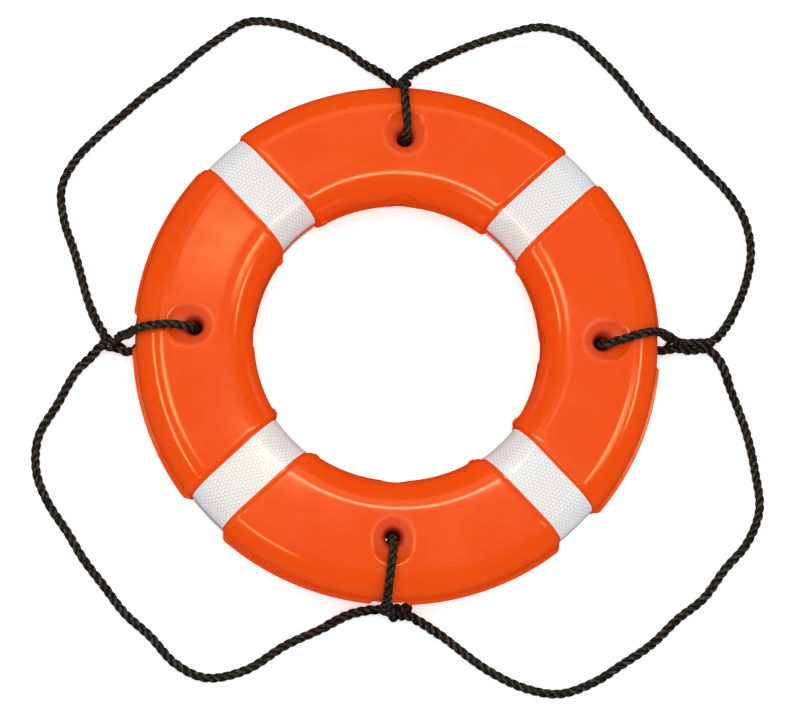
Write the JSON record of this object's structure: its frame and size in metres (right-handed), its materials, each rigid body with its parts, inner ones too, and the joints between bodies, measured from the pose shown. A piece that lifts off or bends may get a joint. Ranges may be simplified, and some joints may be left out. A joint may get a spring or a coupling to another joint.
{
  "type": "ring lifebuoy",
  "caption": "Ring lifebuoy with a hard foam-filled shell, reflective tape bands and a grab line in free loops outside the rim.",
  "frame": {"origin": "centre of the back face, which the ring lies on", "axes": "+Z out of the front face along the ring's axis, +X through one rope hole, +Y through the next rope hole"},
  "size_m": [0.8505, 0.8087, 0.1112],
  "materials": {
    "shell": "gloss",
    "foam": "matte",
    "plug": "satin",
    "tape": "gloss",
    "rope": "satin"
  },
  "bodies": {
    "ring": {"front_shell": "shell", "back_shell": "shell", "foam_core": "foam", "fill_plug": "plug", "vent_plug": "plug", "reflective_tape_1": "tape", "reflective_tape_2": "tape", "reflective_tape_3": "tape", "reflective_tape_4": "tape", "rope_wrap_right": "rope", "rope_wrap_top": "rope", "rope_wrap_left": "rope", "rope_wrap_bottom": "rope", "rope_tail": "rope", "rope_tuck_right": "rope", "rope_tuck_top": "rope", "rope_tuck_left": "rope", "joining_knot": "rope"},
    "loop_upper_right": {"grab_loop_upper_right": "rope"},
    "loop_upper_left": {"grab_loop_upper_left": "rope"},
    "loop_lower_left": {"grab_loop_lower_left": "rope"},
    "loop_lower_right": {"grab_loop_lower_right": "rope"}
  },
  "joints": [
    {"name": "loop_upper_right_swing", "type": "hinge", "parent": "ring", "child": "loop_upper_right", "pos_m": [0.4, 0.06, 0.005], "axis": [0.7777, -0.6286, 0], "range_deg": [0, 100]},
    {"name": "loop_upper_left_swing", "type": "hinge", "parent": "ring", "child": "loop_upper_left", "pos_m": [-0.05, 0.35, 0.005], "axis": [0.7071, 0.7071, 0], "range_deg": [0, 100]},
    {"name": "loop_lower_left_swing", "type": "hinge", "parent": "ring", "child": "loop_lower_left", "pos_m": [-0.37, -0.04, 0.005], "axis": [-0.7131, 0.701, 0], "range_deg": [0, 100]},
    {"name": "loop_lower_right_swing", "type": "hinge", "parent": "ring", "child": "loop_lower_right", "pos_m": [0.065, -0.335, 0.005], "axis": [-0.7344, -0.6787, 0], "range_deg": [0, 100]}
  ]
}
